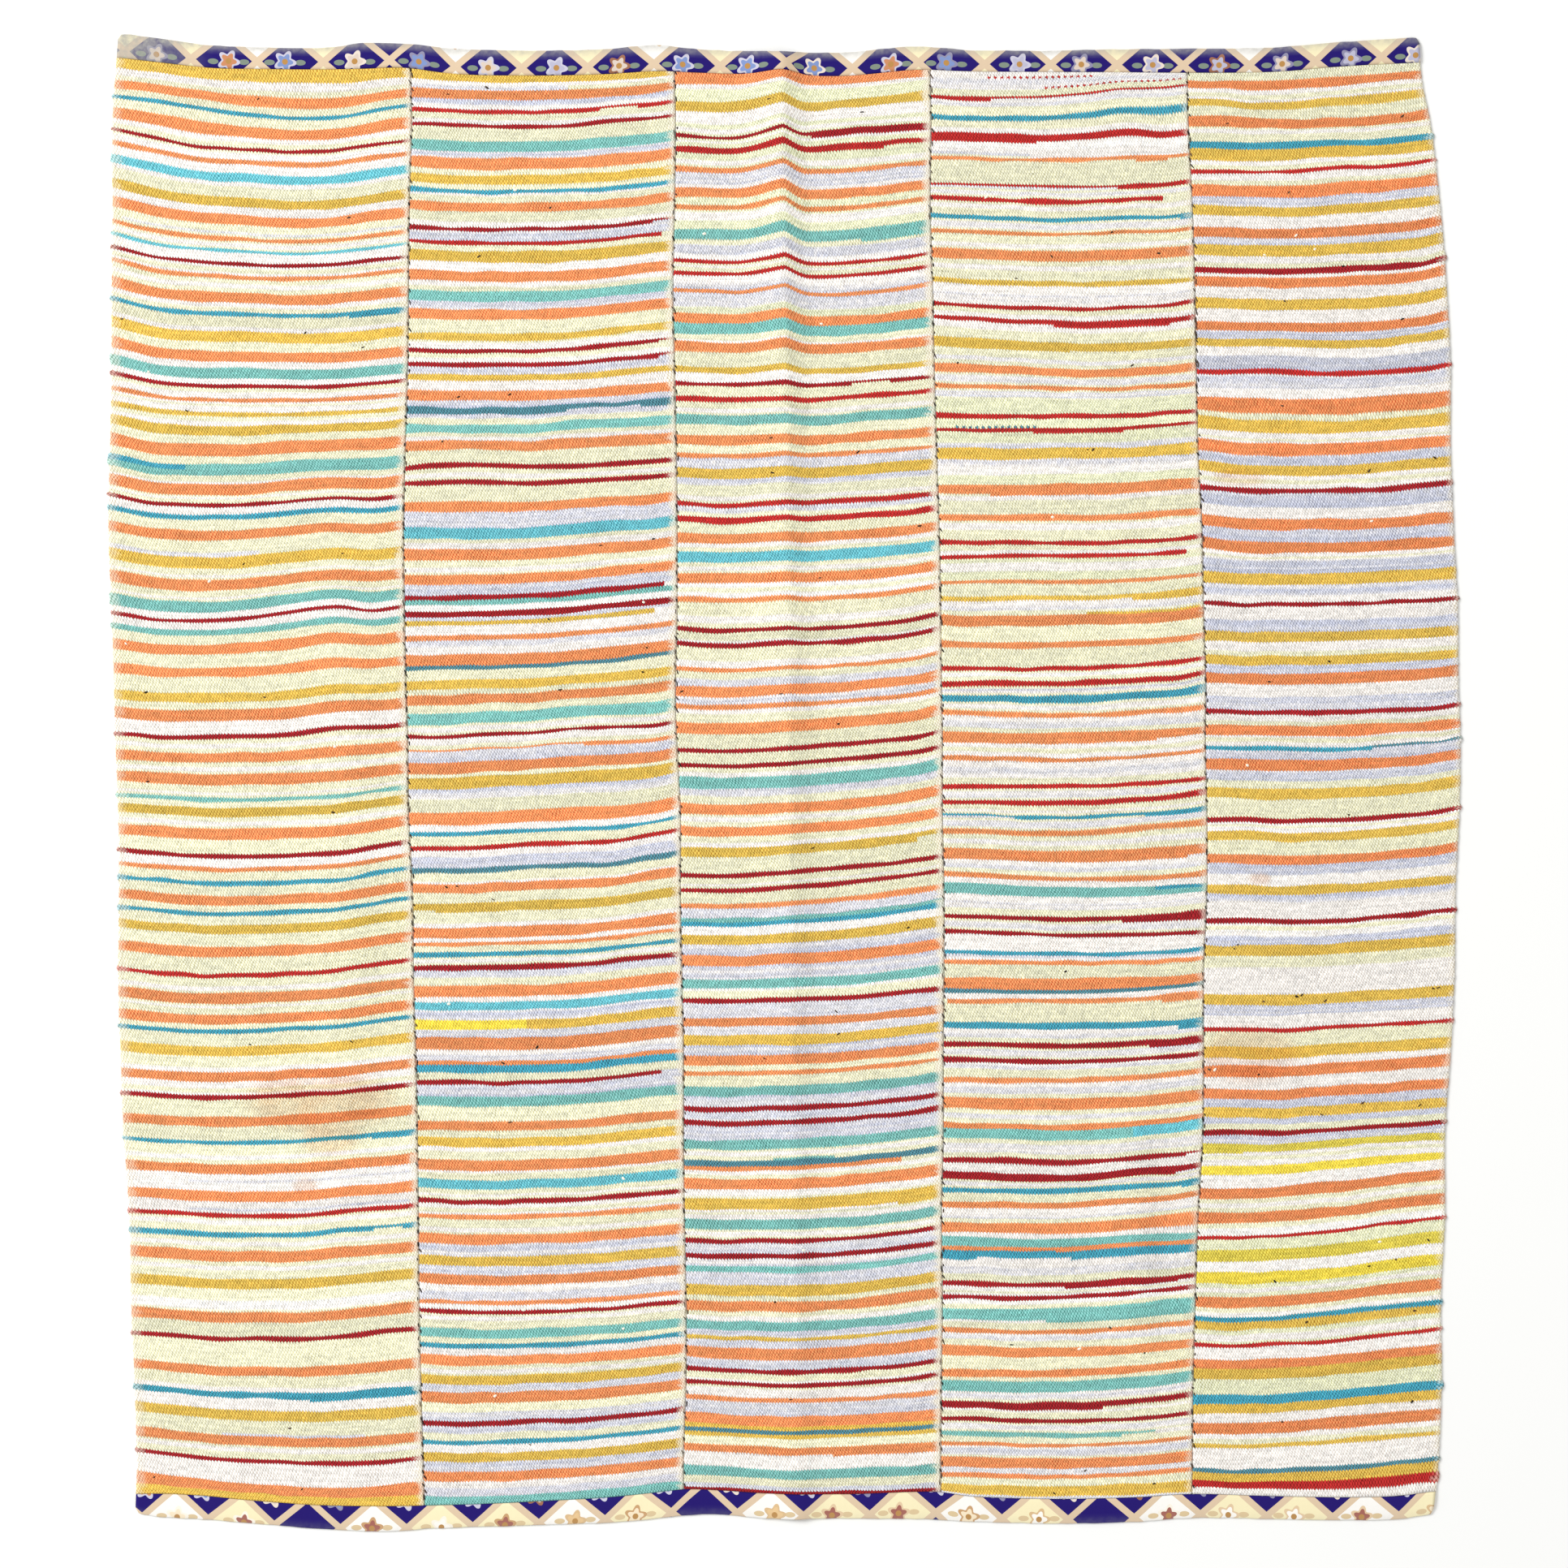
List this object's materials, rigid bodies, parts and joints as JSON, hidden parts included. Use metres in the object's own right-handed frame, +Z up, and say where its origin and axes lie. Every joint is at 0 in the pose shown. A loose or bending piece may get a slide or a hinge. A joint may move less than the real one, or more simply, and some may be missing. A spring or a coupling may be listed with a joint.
{
  "type": "rag weave blanket",
  "caption": "Spread-out rag weave blanket: striped loom panels sewn edge to edge, with a printed cotton binding along each end and a soft fold crease.",
  "frame": {"origin": "on the surface, under the middle of the blanket's box", "axes": "+X across the panels, +Y along them towards the top end, +Z up from the surface"},
  "size_m": [1.6658, 1.8456, 0.0123],
  "materials": {
    "rag_weave": "weft-faced rag weave in many coloured stripes, matt",
    "printed_cotton": "printed plain cotton, matt"
  },
  "bodies": {
    "root": {"panel_1": "rag_weave", "panel_2": "rag_weave", "panel_3": "rag_weave", "panel_4": "rag_weave", "panel_5": "rag_weave", "binding_top": "printed_cotton", "binding_bottom": "printed_cotton"}
  },
  "joints": []
}
